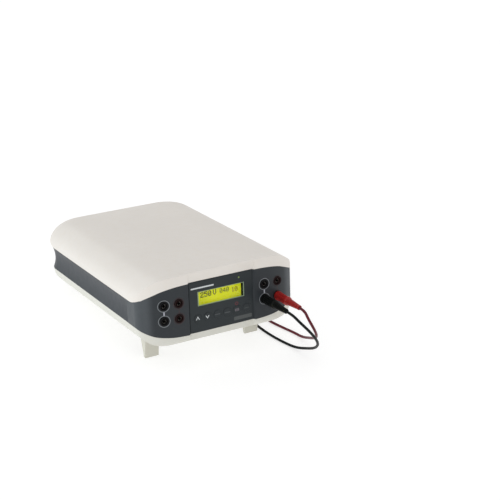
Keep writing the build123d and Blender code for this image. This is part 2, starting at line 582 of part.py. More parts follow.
# ---- leads and their plugs ----------------------------------------------------------------
PLUG_LEN = 50.5
def plug_solids(loc):
    """Plug whose shroud points along its own -Z and whose lead leaves along +Z; z = 0 is its shoulder."""
    body = Pos(0, 0, 12.5) * Cylinder(5.6, 25)
    boot = Pos(0, 0, 25) * Cone(4.6, 3.1, PLUG_LEN - 25, align=(Align.CENTER, Align.CENTER, Align.MIN))
    shroud = Pos(0, 0, -9.2) * (Cylinder(4.1, 18.6) - Cylinder(3.25, 20))
    body = body + boot + shroud
    body = body - Pos(0, 0, -1) * Cylinder(2.02, 26, align=(Align.CENTER, Align.CENTER, Align.MIN))
    pin = Pos(0, 0, -18.4) * Cylinder(1.98, 42.0, align=(Align.CENTER, Align.CENTER, Align.MIN))
    return loc * body, loc * pin


SEAT_BLACK, SEAT_RED = -2.0, -0.6
# near plugs: shoulder 0.25 mm off the socket's face, lead leaving towards -y of the case
near_black = placed * Pos(58.0, SEAT_BLACK - 1.8 - 0.25, SOCKET_Z[0]) * Rot(90, 0, 0)
near_red = placed * Pos(77.0, SEAT_RED - 1.8 - 0.25, SOCKET_Z[0]) * Rot(90, 0, 0)
bb, bp = plug_solids(near_black)
rb, rp = plug_solids(near_red)
save("black_plug", bb, level=True)
save("red_plug", rb, level=True)

# control points of the leads; y is counted from the front of the leaned case
BLACK_ROUTE = [
    (61.0, -75.4, 75.7), (70.0, -82.2, 65.6), (81.4, -80.6, 51.6), (91.8, -71.1, 36.5),
    (98.1, -55.0, 22.0), (100.2, -34.4, 10.8), (97.3, -13.6, 2.3), (91.5, 6.2, 1.75), (87.1, 26.0, 1.75),
    (84.6, 45.9, 1.75), (84.0, 66.0, 1.75), (84.8, 88.0, 1.75), (86.6, 112.0, 1.75), (88.2, 138.0, 1.75),
    (89.4, 164.0, 1.75), (91.0, 190.0, 1.75), (94.2, 214.0, 1.75), (99.4, 231.0, 2.2), (105.4, 242.4, 3.2), (110.0, 251.8, 4.0)]
RED_ROUTE = [
    (75.8, -70.2, 74.5), (80.5, -75.3, 63.9), (89.1, -69.8, 50.4), (99.1, -54.9, 36.5),
    (108.9, -35.0, 23.3), (116.4, -13.8, 11.6), (119.1, 5.8, 2.4), (116.6, 21.9, 1.75), (112.0, 36.3, 1.75),
    (107.8, 50.2, 1.75), (104.5, 64.0, 1.75), (103.4, 78.0, 1.75), (104.6, 91.5, 2.0), (108.0, 104.4, 2.8),
    (112.0, 116.4, 4.0)]
COIL_R, COIL_W, COIL_H, STUB = 19.0, 5.6, 7.6, 22.0
COIL_BLACK = (129.0, 282.0)
COIL_RED = (131.0, 150.0)
Z_IN, Z_OUT = 4.0, 5.75
LEAN_DIR = (0.0, -math.cos(math.radians(TILT)), math.sin(math.radians(TILT)))


def lead(name, plug_loc, first, route, coil_c):
    """Tube from the near plug's boot to the stub of the coil."""
    start = (plug_loc * Pos(0, 0, PLUG_LEN + 0.02)).position
    p1 = tuple(start + Vector(*LEAN_DIR) * first)
    cx, cy = coil_c
    pts = [tuple(start), p1] + [(x, y + Y_SHIFT, z) for x, y, z in route]
    pts.append((cx - COIL_R, cy - STUB - 0.02 + Y_SHIFT, Z_IN))
    t, w, rs = tube(pts, LEAD_D)
    runs = [math.dist(pts[i], pts[i + 1]) for i in range(len(pts) - 1)]
    print(name, "start", [round(v, 3) for v in start], "second", [round(v, 3) for v in p1])
    print("  radii", [round(r, 1) for r in rs], "length", round(w.length, 1),
          "volume ratio", round(t.volume / (math.pi * LEAD_D ** 2 / 4 * w.length), 4))
    print("  runs", [round(v, 1) for v in runs])
    return t


def coil_solid(c):
    """The wound part of a lead: a flat ring of turns, a stub in and a stub out."""
    cx, cy = c[0], c[1] + Y_SHIFT
    ring = Pos(cx, cy, COIL_H / 2) * (Cylinder(COIL_R + COIL_W, COIL_H) - Cylinder(COIL_R - COIL_W, COIL_H + 2))
    s_in = Pos(cx - COIL_R, cy - STUB / 2, Z_IN) * Rot(90, 0, 0) * Cylinder(LEAD_D / 2, STUB)
    s_out = Pos(cx - COIL_R, cy + STUB / 2, Z_OUT) * Rot(90, 0, 0) * Cylinder(LEAD_D / 2, STUB)
    return ring + s_in + s_out


save("black_lead", lead("black", near_black, 12.9, BLACK_ROUTE, COIL_BLACK), level=True)
save("red_lead", lead("red", near_red, 11.0, RED_ROUTE, COIL_RED), level=True)
save("black_lead_coil", coil_solid(COIL_BLACK), level=True)
save("red_lead_coil", coil_solid(COIL_RED), level=True)
# far plugs lie on the ground beyond the coils, pointing away from them
far = []
for c in (COIL_BLACK, COIL_RED):
    loc = Pos(c[0] - COIL_R, c[1] + Y_SHIFT + STUB + 0.02 + PLUG_LEN, 5.75) * Rot(90, 0, 0)
    far.append(plug_solids(loc))
save("black_far_plug", far[0][0], level=True)
save("red_far_plug", far[1][0], level=True)
save("plug_pins", bp, rp, far[0][1], far[1][1], level=True)

# ---- facts for the record -------------------------------------------------------------
unit = [n for n in made if not n.startswith(("black_", "red_", "plug_pins"))]
lo = [1e9] * 3
hi = [-1e9] * 3
for n in unit:
    for s in made[n]:
        b = s.bounding_box()
        lo = [min(a, v) for a, v in zip(lo, b.min)]
        hi = [max(a, v) for a, v in zip(hi, b.max)]
print("unit box", [round(v, 3) for v in lo], [round(v, 3) for v in hi])
print("add to Y_SHIFT", round(-(lo[1] + hi[1]) / 2, 3), "add to Z_SHIFT", round(-lo[2], 3))
print("nodes", len(made))
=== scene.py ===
import bpy
import bmesh
import json
import math
from mathutils import Matrix, Vector

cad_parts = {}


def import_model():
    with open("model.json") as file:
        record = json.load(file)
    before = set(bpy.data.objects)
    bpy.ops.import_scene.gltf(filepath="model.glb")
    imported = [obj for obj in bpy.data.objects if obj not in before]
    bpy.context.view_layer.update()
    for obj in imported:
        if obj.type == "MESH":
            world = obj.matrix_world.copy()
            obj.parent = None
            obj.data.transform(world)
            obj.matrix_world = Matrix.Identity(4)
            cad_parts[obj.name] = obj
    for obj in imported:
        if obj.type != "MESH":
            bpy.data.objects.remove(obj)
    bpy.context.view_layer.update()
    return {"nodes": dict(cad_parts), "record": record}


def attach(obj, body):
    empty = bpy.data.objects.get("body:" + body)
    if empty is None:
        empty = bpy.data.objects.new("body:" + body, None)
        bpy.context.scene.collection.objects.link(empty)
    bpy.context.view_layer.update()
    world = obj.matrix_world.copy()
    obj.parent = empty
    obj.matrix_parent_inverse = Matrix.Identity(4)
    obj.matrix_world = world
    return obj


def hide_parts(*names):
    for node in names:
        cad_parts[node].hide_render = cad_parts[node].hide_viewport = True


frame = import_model()
nodes = frame["nodes"]

# ---- the frame: case millimetres to metres on the bench -------------------------------
TILT = math.radians(6.9)
SHIFT_Y, SHIFT_Z = -154.165, 39.189
MM = Matrix.Scale(0.001, 4)
PLACE = MM @ Matrix.Translation((0.0, SHIFT_Y, SHIFT_Z)) @ Matrix.Rotation(-TILT, 4, "X")
HALF_W, WALL_Z = 106.0, 87.0
KEY_X = (-32.5, -19.2, -5.9, 7.4, 20.7, 34.0)
KEY_Z = 27.0
SOCKET_X, SOCKET_Z = (58.0, 77.0), (33.7, 52.7)
LCD_Z = 51.3
PLUG_LEN = 50.5


def front_y(x):
    """Face of the curved front at x, in case millimetres."""
    a = abs(x)
    if a <= 64.0:
        return -3.0
    turn = math.radians(37)
    if a <= 64.0 + 62.0 * math.sin(turn):
        return 59.0 - math.sqrt(62.0 ** 2 - (a - 64.0) ** 2)
    r = (42.0 - 62.0 * math.sin(turn)) / (1 - math.sin(turn))
    return 59.0 - (62.0 - r) * math.cos(turn) - math.sqrt(max(r ** 2 - (a - 64.0 - (62.0 - r) * math.sin(turn)) ** 2, 0.0))


def world(x, y, z):
    return PLACE @ Vector((x, y, z))


# ---- camera --------------------------------------------------------------------------
cam_data = bpy.data.cameras.new("camera")
cam_data.sensor_fit = "HORIZONTAL"
cam_data.sensor_width = 36.0
cam_data.lens = 94.895
cam_data.clip_start = 0.05
cam_data.clip_end = 20.0
cam = bpy.data.objects.new("camera", cam_data)
bpy.context.scene.collection.objects.link(cam)
R, U, F = (0.8663725, -0.49849345, 0.03004933), (0.18613415, 0.37816194, 0.90683385), (0.46341425, 0.7800627, -0.42041576)
P = (-0.688633, -1.371462, 0.799459)
cam.matrix_world = Matrix(((R[0], U[0], -F[0], P[0]), (R[1], U[1], -F[1], P[1]), (R[2], U[2], -F[2], P[2]), (0, 0, 0, 1)))
bpy.context.scene.camera = cam


# ---- materials -----------------------------------------------------------------------
class Nodes:
    """A small helper around one material's node tree."""

    def __init__(self, name):
        self.mat = bpy.data.materials.new(name)
        self.mat.use_nodes = True
        self.t = self.mat.node_tree
        self.t.nodes.clear()
        self.out = self.add("ShaderNodeOutputMaterial")
        self.bsdf = self.add("ShaderNodeBsdfPrincipled")
        self.t.links.new(self.bsdf.outputs[0], self.out.inputs["Surface"])
        self.co = self.add("ShaderNodeTexCoord").outputs["Object"]

    def add(self, kind, **props):
        n = self.t.nodes.new(kind)
        for k, v in props.items():
            setattr(n, k, v)
        return n

    def link(self, a, b):
        self.t.links.new(a, b)

    def put(self, socket, value):
        if hasattr(value, "is_output"):
            self.link(value, socket)
        else:
            socket.default_value = value

    def noise(self, scale, detail=3.0, rough=0.5, co=None, stretch=None, distortion=0.0):
        src = co or self.co
        if stretch:
            m = self.add("ShaderNodeMapping")
            m.inputs["Scale"].default_value = stretch
            self.link(src, m.inputs["Vector"])
            src = m.outputs[0]
        n = self.add("ShaderNodeTexNoise")
        n.inputs["Scale"].default_value = scale
        n.inputs["Detail"].default_value = detail
        n.inputs["Roughness"].default_value = rough
        n.inputs["Distortion"].default_value = distortion
        self.link(src, n.inputs["Vector"])
        return n.outputs["Fac"]

    def cells(self, scale, co=None, feature="F1"):
        n = self.add("ShaderNodeTexVoronoi", feature=feature)
        n.inputs["Scale"].default_value = scale
        self.link(co or self.co, n.inputs["Vector"])
        return n.outputs["Distance"]

    def remap(self, value, a, b, lo=0.0, hi=1.0, smooth=False):
        n = self.add("ShaderNodeMapRange", interpolation_type="SMOOTHSTEP" if smooth else "LINEAR")
        self.link(value, n.inputs["Value"])
        for i, v in zip(("From Min", "From Max", "To Min", "To Max"), (a, b, lo, hi)):
            n.inputs[i].default_value = v
        return n.outputs[0]

    def math(self, op, a, b=0.0, clamp=False):
        n = self.add("ShaderNodeMath", operation=op, use_clamp=clamp)
        self.put(n.inputs[0], a)
        self.put(n.inputs[1], b)
        return n.outputs[0]

    def mix(self, fac, a, b, blend="MIX"):
        n = self.add("ShaderNodeMix", data_type="RGBA", blend_type=blend)
        self.put(n.inputs[0], fac)
        for s, v in ((n.inputs[6], a), (n.inputs[7], b)):
            self.put(s, (*v, 1.0) if isinstance(v, tuple) and len(v) == 3 else v)
        return n.outputs[2]

    def xyz(self):
        n = self.add("ShaderNodeSeparateXYZ")
        self.link(self.co, n.inputs[0])
        return n.outputs

    def edges(self, a=0.52, b=0.62):
        """Raised edges, where hands rub the finish."""
        g = self.add("ShaderNodeNewGeometry")
        return self.remap(g.outputs["Pointiness"], a, b, smooth=True)

    def bump(self, height, strength, distance=0.001, normal=None):
        n = self.add("ShaderNodeBump")
        n.inputs["Strength"].default_value = strength
        n.inputs["Distance"].default_value = distance
        self.link(height, n.inputs["Height"])
        if normal is not None:
            self.link(normal, n.inputs["Normal"])
        return n.outputs[0]

    def surface(self, color, rough, metallic=0.0, normal=None, ior=None, coat=None, spec=None, sheen=None):
        b = self.bsdf
        self.put(b.inputs["Base Color"], (*color, 1.0) if isinstance(color, tuple) and len(color) == 3 else color)
        self.put(b.inputs["Roughness"], rough)
        b.inputs["Metallic"].default_value = metallic
        if normal is not None:
            self.link(normal, b.inputs["Normal"])
        if ior is not None:
            b.inputs["IOR"].default_value = ior
        if spec is not None:
            b.inputs["Specular IOR Level"].default_value = spec
        if coat is not None:
            b.inputs["Coat Weight"].default_value = coat[0]
            b.inputs["Coat Roughness"].default_value = coat[1]
        if sheen is not None:
            b.inputs["Sheen Weight"].default_value = sheen[0]
            b.inputs["Sheen Roughness"].default_value = sheen[1]
        return self.mat


def scaled(c, k):
    return tuple(max(0.0, min(1.0, v * k)) for v in c)


def plastic(name, color, rough=0.45, grain=0.25, grain_scale=1500.0, tone=0.04, tone_scale=14.0, warm=0.0,
            scuff=0.25, edge=0.12, spec=0.45, dust=0.0, painted_corner_highlight=None):
    """Moulded plastic: spark-eroded grain, slow tone drift, faint rubbing on edges and fine hairline scuffs; where
    given, a painted highlight towards both outer corners across x.
    """
    n = Nodes(name)
    slow = n.noise(tone_scale, 3.0, 0.55)
    mid = n.noise(tone_scale * 9.0, 4.0, 0.6)
    c = n.mix(n.remap(slow, 0.3, 0.7), scaled(color, 1.0 - tone), scaled(color, 1.0 + tone))
    if painted_corner_highlight:
        # painted highlight: the colour lightens towards both outer corners across x, standing in for light on the
        # curved corners
        c = n.mix(n.remap(n.math("ABSOLUTE", n.xyz()[0]), painted_corner_highlight[1], painted_corner_highlight[2], smooth=True), c, painted_corner_highlight[0])
    c = n.mix(n.remap(mid, 0.45, 0.75, 0.0, 0.5 if painted_corner_highlight is None else 0.15), c, scaled((color[0], color[1] * (1 - 0.4 * warm), color[2] * (1 - warm)), 1.0 - tone * 0.6))
    c = n.mix(n.math("MULTIPLY", n.edges(), edge), c, scaled(color, 1.25))
    if dust:
        up = n.add("ShaderNodeNewGeometry")
        sep = n.add("ShaderNodeSeparateXYZ")
        n.link(up.outputs["Normal"], sep.inputs[0])
        d = n.math("MULTIPLY", n.remap(sep.outputs[2], 0.3, 1.0), n.remap(n.noise(60.0, 5.0, 0.7), 0.45, 0.8, 0.0, dust))
        c = n.mix(d, c, (0.55, 0.53, 0.5))
    hair = n.noise(40.0, 2.0, 0.5, stretch=(1.0, 14.0, 14.0), distortion=0.6)
    r = n.math("ADD", n.remap(mid, 0.2, 0.8, rough - 0.05, rough + 0.06), n.remap(hair, 0.58, 0.75, 0.0, 0.1 * scuff))
    fine = n.noise(grain_scale, 2.0, 0.6)
    peel = n.noise(120.0, 2.0, 0.5)
    nrm = n.bump(fine, grain, 0.0001)
    nrm = n.bump(peel, 0.06, 0.0004, nrm)
    return n.surface(c, r, normal=nrm, spec=spec)


def metal(name, color, rough=0.28, lines=0.25, axis=(1.0, 1.0, 30.0)):
    n = Nodes(name)
    brushed = n.noise(300.0, 3.0, 0.6, stretch=axis)
    spots = n.noise(90.0, 4.0, 0.7)
    c = n.mix(n.remap(spots, 0.4, 0.75, 0.0, 0.6), color, scaled(color, 0.72))
    c = n.mix(n.math("MULTIPLY", n.edges(), 0.3), c, scaled(color, 1.2))
    r = n.math("ADD", n.remap(brushed, 0.2, 0.8, rough - 0.08, rough + 0.1), n.remap(spots, 0.5, 0.8, 0.0, 0.12))
    return n.surface(c, r, metallic=1.0, normal=n.bump(brushed, lines, 0.0001))


def rubber(name, color, rough=0.6, sheen=0.25, fine=900.0, spec=0.4):
    n = Nodes(name)
    m = n.noise(70.0, 4.0, 0.6)
    c = n.mix(n.remap(m, 0.35, 0.75), scaled(color, 0.88), scaled(color, 1.12))
    r = n.remap(m, 0.2, 0.8, rough - 0.07, rough + 0.08)
    nrm = n.bump(n.noise(fine, 3.0, 0.6), 0.22, 0.0001)
    return n.surface(c, r, normal=nrm, sheen=(sheen, 0.5), spec=spec)


def board(name):
    """Circuit board: solder mask over a faint web of tracks, with tinned pads."""
    n = Nodes(name)
    tracks = n.add("ShaderNodeTexBrick")
    tracks.inputs["Scale"].default_value = 160.0
    tracks.inputs["Mortar Size"].default_value = 0.05
    n.link(n.co, tracks.inputs["Vector"])
    c = n.mix(tracks.outputs["Fac"], (0.012, 0.12, 0.045), (0.03, 0.22, 0.08))
    pads = n.remap(n.cells(420.0), 0.10, 0.16, 1.0, 0.0)
    c = n.mix(n.math("MULTIPLY", pads, 0.75), c, (0.62, 0.6, 0.52))
    return n.surface(c, n.remap(n.noise(50.0), 0.2, 0.8, 0.28, 0.42), normal=n.bump(tracks.outputs["Fac"], 0.2, 0.0001), coat=(0.4, 0.15))


WHITE = (0.750, 0.712, 0.664)
M = {}
M["white_shell"] = plastic("white_shell", WHITE, rough=0.5, grain=0.22, tone=0.018, warm=0.05, edge=0.10, scuff=0.3)
M["base_shell"] = plastic("base_shell", (0.655, 0.650, 0.592), rough=0.55, grain=0.25, tone=0.02, warm=0.07, edge=0.10)
M["leg_plastic"] = plastic("leg_plastic", (0.56, 0.55, 0.48), rough=0.48, grain=0.18, tone=0.03, warm=0.06, edge=0.2)
# the grey front panel carries a painted highlight on its curved front corners
M["grey_panel"] = plastic("grey_panel", (0.0195, 0.0245, 0.029), rough=0.5, grain=0.3, tone=0.05, edge=0.10, spec=0.35,
                          painted_corner_highlight=((0.064, 0.073, 0.081), 0.0872, 0.0978))
M["grey_rail"] = plastic("grey_rail", (0.0255, 0.032, 0.040), rough=0.46, grain=0.3, tone=0.05, edge=0.10, spec=0.4)
M["overlay"] = plastic("overlay", (0.012, 0.018, 0.021), rough=0.4, grain=0.12, grain_scale=2600.0, tone=0.04, edge=0.05, spec=0.35)
M["key_cap"] = plastic("key_cap", (0.0123, 0.0183, 0.0213), rough=0.4, grain=0.12, grain_scale=2600.0, tone=0.04, edge=0.0, spec=0.35)
M["black_plastic"] = plastic("black_plastic", (0.0045, 0.0045, 0.0055), rough=0.36, grain=0.12, tone=0.08, edge=0.06, spec=0.14)
M["red_plastic"] = plastic("red_plastic", (0.014, 0.003, 0.003), rough=0.36, grain=0.12, tone=0.08, edge=0.06, spec=0.14)
# a darkened copy of the nickel for the socket contacts: painted shade for their place deep inside the sockets
M["contact_painted_shade"] = metal("contact_painted_shade", (0.20, 0.19, 0.17), rough=0.4, lines=0.15)
M["plug_red"] = plastic("plug_red", (0.34, 0.015, 0.013), rough=0.3, grain=0.15, tone=0.06, edge=0.10, spec=0.34)
M["plug_black"] = plastic("plug_black", (0.0042, 0.005, 0.0046), rough=0.34, grain=0.15, tone=0.08, edge=0.08, spec=0.10)
M["lead_red"] = rubber("lead_red", (0.115, 0.009, 0.018), rough=0.42, sheen=0.02, spec=0.22)
M["lead_black"] = rubber("lead_black", (0.004, 0.0056, 0.0056), rough=0.42, sheen=0.01, spec=0.12)
M["foot_rubber"] = rubber("foot_rubber", (0.022, 0.022, 0.024), rough=0.75)
M["wire"] = rubber("wire", (0.04, 0.04, 0.045), rough=0.5)
M["ribbon"] = rubber("ribbon", (0.42, 0.43, 0.45), rough=0.5)
M["nickel"] = metal("nickel", (0.72, 0.69, 0.62), rough=0.22, lines=0.15)
M["steel"] = metal("steel", (0.56, 0.57, 0.58), rough=0.32)
M["aluminium"] = metal("aluminium", (0.68, 0.69, 0.70), rough=0.34, lines=0.4)
M["bezel_metal"] = metal("bezel_metal", (0.50, 0.54, 0.45), rough=0.42)
M["core_steel"] = metal("core_steel", (0.16, 0.16, 0.17), rough=0.5, lines=0.8, axis=(1.0, 40.0, 1.0))
M["copper"] = metal("copper", (0.80, 0.33, 0.14), rough=0.3, lines=0.9, axis=(1.0, 1.0, 60.0))
M["cap_sleeve"] = plastic("cap_sleeve", (0.012, 0.02, 0.07), rough=0.28, grain=0.08)
M["ferrite"] = plastic("ferrite", (0.09, 0.12, 0.09), rough=0.5)
M["terminal_green"] = plastic("terminal_green", (0.02, 0.20, 0.07), rough=0.4)
M["standoff"] = plastic("standoff", (0.72, 0.72, 0.69), rough=0.5)
M["pcb"] = board("pcb")
M["glass_tube"] = None


def clear(name, tint, rough, ior=1.45):
    n = Nodes(name)
    smear = n.noise(25.0, 4.0, 0.6, stretch=(1.0, 1.0, 3.0))
    n.surface(tint, n.remap(smear, 0.3, 0.8, rough, rough + 0.06), ior=ior)
    n.bsdf.inputs["Transmission Weight"].default_value = 1.0
    return n.mat


M["clear_lens"] = clear("clear_lens", (0.99, 1.0, 0.97), 0.02, 1.22)
M["glass_tube"] = clear("glass_tube", (0.92, 0.96, 0.95), 0.03)


def lit_lcd():
    """Backlit yellow-green display glass, a little brighter in the middle, with a faint dot raster."""
    n = Nodes("lcd")
    x, y, z = n.xyz()
    drift = n.noise(30.0, 2.0, 0.5)
    c = n.mix(n.remap(drift, 0.3, 0.7), (0.50, 0.52, 0.003), (0.60, 0.61, 0.005))
    raster = n.add("ShaderNodeTexBrick")
    raster.inputs["Scale"].default_value = 800.0
    raster.inputs["Mortar Size"].default_value = 0.06
    raster.offset = 0.0
    m = n.add("ShaderNodeMapping")
    m.inputs["Rotation"].default_value = (math.pi / 2 + TILT, 0.0, 0.0)
    n.link(n.co, m.inputs["Vector"])
    n.link(m.outputs[0], raster.inputs["Vector"])
    c = n.mix(n.math("MULTIPLY", raster.outputs["Fac"], 0.10), c, (0.72, 0.74, 0.02))
    c = n.mix(n.remap(n.math("ABSOLUTE", x), 0.008, 0.033, 0.0, 0.55, smooth=True), c, (0.37, 0.40, 0.012))
    n.surface(c, 0.35, spec=0.12)
    n.link(c, n.bsdf.inputs["Emission Color"])
    n.bsdf.inputs["Emission Strength"].default_value = 0.55
    return n.mat


M["lcd"] = lit_lcd()


def ink(name, color, rough=0.5):
    """Screen-printed ink with a slightly uneven coat."""
    n = Nodes(name)
    m = n.noise(700.0, 3.0, 0.6)
    c = n.mix(n.remap(m, 0.35, 0.75), scaled(color, 0.86), color)
    return n.surface(c, rough, normal=n.bump(m, 0.1, 0.00005), spec=0.3)


M["ink_white"] = ink("ink_white", (0.66, 0.69, 0.70))
M["ink_grey"] = ink("ink_grey", (0.085, 0.092, 0.097))
M["ink_faint"] = ink("ink_faint", (0.056, 0.064, 0.064))
M["ink_bar"] = ink("ink_bar", (0.080, 0.088, 0.088))
M["ink_ring"] = ink("ink_ring", (0.22, 0.235, 0.25))
M["ink_link"] = ink("ink_link", (0.41, 0.42, 0.475))
M["ink_red"] = ink("ink_red", (0.055, 0.026, 0.026))
# a darker copy of the red ink: painted shade for the right-hand red rings, turned away from the key light
M["ink_red_shaded"] = ink("ink_red_shaded", (0.036, 0.025, 0.027))
M["ink_stop"] = ink("ink_stop", (0.10, 0.027, 0.033))
M["ink_lamp"] = ink("ink_lamp", (0.20, 0.30, 0.06))
M["lcd_frame"] = ink("lcd_frame", (0.27, 0.35, 0.22))
M["lcd_shade"] = ink("lcd_shade", (0.035, 0.05, 0.012))
M["ink_stop_label"] = ink("ink_stop_label", (0.135, 0.12, 0.135))
M["lcd_digit"] = ink("lcd_digit", (0.035, 0.05, 0.006))
M["lcd_faint"] = ink("lcd_faint", (0.24, 0.26, 0.01))
M["lcd_warm"] = ink("lcd_warm", (0.38, 0.28, 0.012))

# the socket contacts take the painted-shade copy of the nickel
SLOT_MAT = {"top_cover": "white_shell", "base_pan": "base_shell", "tilt_leg_left": "leg_plastic", "tilt_leg_right": "leg_plastic",
            "socket_contacts": "contact_painted_shade"}
for row in frame["record"]["subparts"]:
    o = nodes[row["node"]]
    key = SLOT_MAT.get(row["node"], row["material_slot"])
    if row["node"] == "key_stop":
        key = "key_cap"
    o.data.materials.clear()
    o.data.materials.append(M[key])


# ---- mesh helpers --------------------------------------------------------------------
def new_obj(name, verts, faces, mat, place=None, smooth=True):
    me = bpy.data.meshes.new(name)
    me.from_pydata([tuple(v) for v in verts], [], faces)
    if place is not None:
        me.transform(place)
    me.validate()
    me.update()
    if smooth:
        me.shade_smooth()
    o = bpy.data.objects.new(name, me)
    bpy.context.scene.collection.objects.link(o)
    me.materials.append(M[mat] if isinstance(mat, str) else mat)
    return o


def lathe(profile, n=64, flutes=0, offset=0.0):
    """Rings around +Z from (radius, z, flute depth) points, joined ring to ring by quads."""
    verts, faces, rings = [], [], []
    for p in profile:
        r, z = p[0], p[1]
        d = p[2] if len(p) > 2 else 0.0
        ring = []
        for i in range(n):
            a = 2 * math.pi * i / n + offset
            rr = r - d * (0.5 - 0.5 * math.cos(flutes * a)) ** 2 if d else r
            ring.append(len(verts))
            verts.append((rr * math.cos(a), rr * math.sin(a), z))
        rings.append(ring)
    for a, b in zip(rings, rings[1:]):
        for i in range(n):
            j = (i + 1) % n
            faces.append((a[i], a[j], b[j], b[i]))
    return verts, faces


def sharpen(o, degrees=38.0):
    """Smooth shading with crisp edges where the surface turns sharply."""
    bpy.context.view_layer.update()
    me = o.data
    bm = bmesh.new()
    bm.from_mesh(me)
    bmesh.ops.recalc_face_normals(bm, faces=bm.faces)
    lim = math.radians(degrees)
    for e in bm.edges:
        if len(e.link_faces) == 2 and e.calc_face_angle(0.0) > lim:
            e.smooth = False
    bm.to_mesh(me)
    bm.free()
    return o


# ---- cords ---------------------------------------------------------------------------
LEAD_R = 1.7


def coil_turns(cx, cy, turns, n=16):
    """Control points of a neat round coil: three turns side by side inwards, then back outwards on top."""
    lanes = [(22.7, 1.75), (19.05, 1.75), (15.4, 1.75), (15.4, 5.2), (19.05, 5.2), (22.7, 5.2), (26.35, 5.2)]
    ease = lambda v: max(0.0, min(1.0, v)) ** 2 * (3 - 2 * max(0.0, min(1.0, v)))
    out = []
    for k in range(turns * n + 1):
        turn, f = divmod(k, n)
        if turn == turns:
            turn, f = turns - 1, n
        phi = 360.0 * f / n
        (r0, z0), (r1, z1) = lanes[turn], lanes[turn + 1]
        if turn < 2:
            s = ease((phi - 290) / 65)
        elif turn == 2:
            s = ease((phi - 255) / 75)
        else:
            s = ease((phi - 215) / 70)
        r, z = r0 + (r1 - r0) * s, z0 + (z1 - z0) * s
        a = math.pi - math.radians(phi)
        rr = r / math.cos(math.pi / n)
        out.append((cx + rr * math.cos(a), cy + rr * math.sin(a), z))
    return out


def cord_curve(name, pts, mat, body):
    cu = bpy.data.curves.new(name, "CURVE")
    cu.dimensions = "3D"
    sp = cu.splines.new("NURBS")
    sp.points.add(len(pts) - 1)
    for p, q in zip(sp.points, pts):
        p.co = (q[0] / 1000, q[1] / 1000, q[2] / 1000, 1.0)
    sp.order_u = 3
    sp.use_endpoint_u = True
    sp.resolution_u = 10
    cu.bevel_depth = LEAD_R / 1000
    cu.bevel_resolution = 6
    cu.use_fill_caps = True
    cu.materials.append(M[mat])
    o = bpy.data.objects.new(name, cu)
    bpy.context.scene.collection.objects.link(o)
    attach(o, body)
    return o


BLACK_START, BLACK_SECOND = (58.0, -204.291, 79.201), (58.0, -217.098, 80.75)
RED_START, RED_SECOND = (77.0, -202.901, 79.032), (77.0, -213.822, 80.354)
BLACK_ROUTE = [
    (61.0, -75.4, 75.7), (70.0, -82.2, 65.6), (81.4, -80.6, 51.6), (91.8, -71.1, 36.5),
    (98.1, -55.0, 22.0), (100.2, -34.4, 10.8), (97.3, -13.6, 2.3), (91.5, 6.2, 1.75), (87.1, 26.0, 1.75),
    (84.6, 45.9, 1.75), (84.0, 66.0, 1.75), (84.8, 88.0, 1.75), (86.6, 112.0, 1.75), (88.2, 138.0, 1.75),
    (89.4, 164.0, 1.75), (91.0, 190.0, 1.75), (94.2, 214.0, 1.75), (98.6, 231.0, 1.75), (103.2, 242.4, 1.75), (105.6, 251.8, 1.75)]
RED_ROUTE = [
    (75.8, -70.2, 74.5), (80.5, -75.3, 63.9), (89.1, -69.8, 50.4), (99.1, -54.9, 36.5),
    (108.9, -35.0, 23.3), (116.4, -13.8, 11.6), (119.1, 5.8, 2.4), (116.6, 21.9, 1.75), (112.0, 36.3, 1.75),
    (107.8, 50.2, 1.75), (104.5, 64.0, 1.75), (103.0, 78.0, 1.75), (103.8, 91.5, 1.75), (106.0, 104.4, 1.75),
    (107.8, 116.4, 1.75)]
COIL_BLACK, COIL_RED = (129.0, 282.0), (131.0, 150.0)


def lead_points(start, second, route, coil, turns):
    cx, cy = coil
    tail = [(cx - 22.9, cy - 19.0, 1.75), (cx - 22.9, cy - 9.0, 1.75)]
    turned = coil_turns(cx, cy, turns)
    x_out = turned[-1][0]
    tail_out = [(x_out + 0.6, cy + 6.0, 5.35), (x_out * 0.4 + (cx - 19) * 0.6, cy + 12.0, 5.6), (cx - 19.0, cy + 18.0, 5.75), (cx - 19.0, cy + 25.5, 5.75)]
    inside = (start[0], start[1] + 3.0 * math.cos(TILT), start[2] - 3.0 * math.sin(TILT))
    return [inside, second] + [(x, y + SHIFT_Y, z) for x, y, z in route + tail + turned + tail_out]


black_pts = lead_points(BLACK_START, BLACK_SECOND, BLACK_ROUTE, COIL_BLACK, 5)
red_pts = lead_points(RED_START, RED_SECOND, RED_ROUTE, COIL_RED, 6)
black_cord = cord_curve("lead_of_black_plug", black_pts, "lead_black", "case")
red_cord = cord_curve("lead_of_red_plug", red_pts, "lead_red", "case")


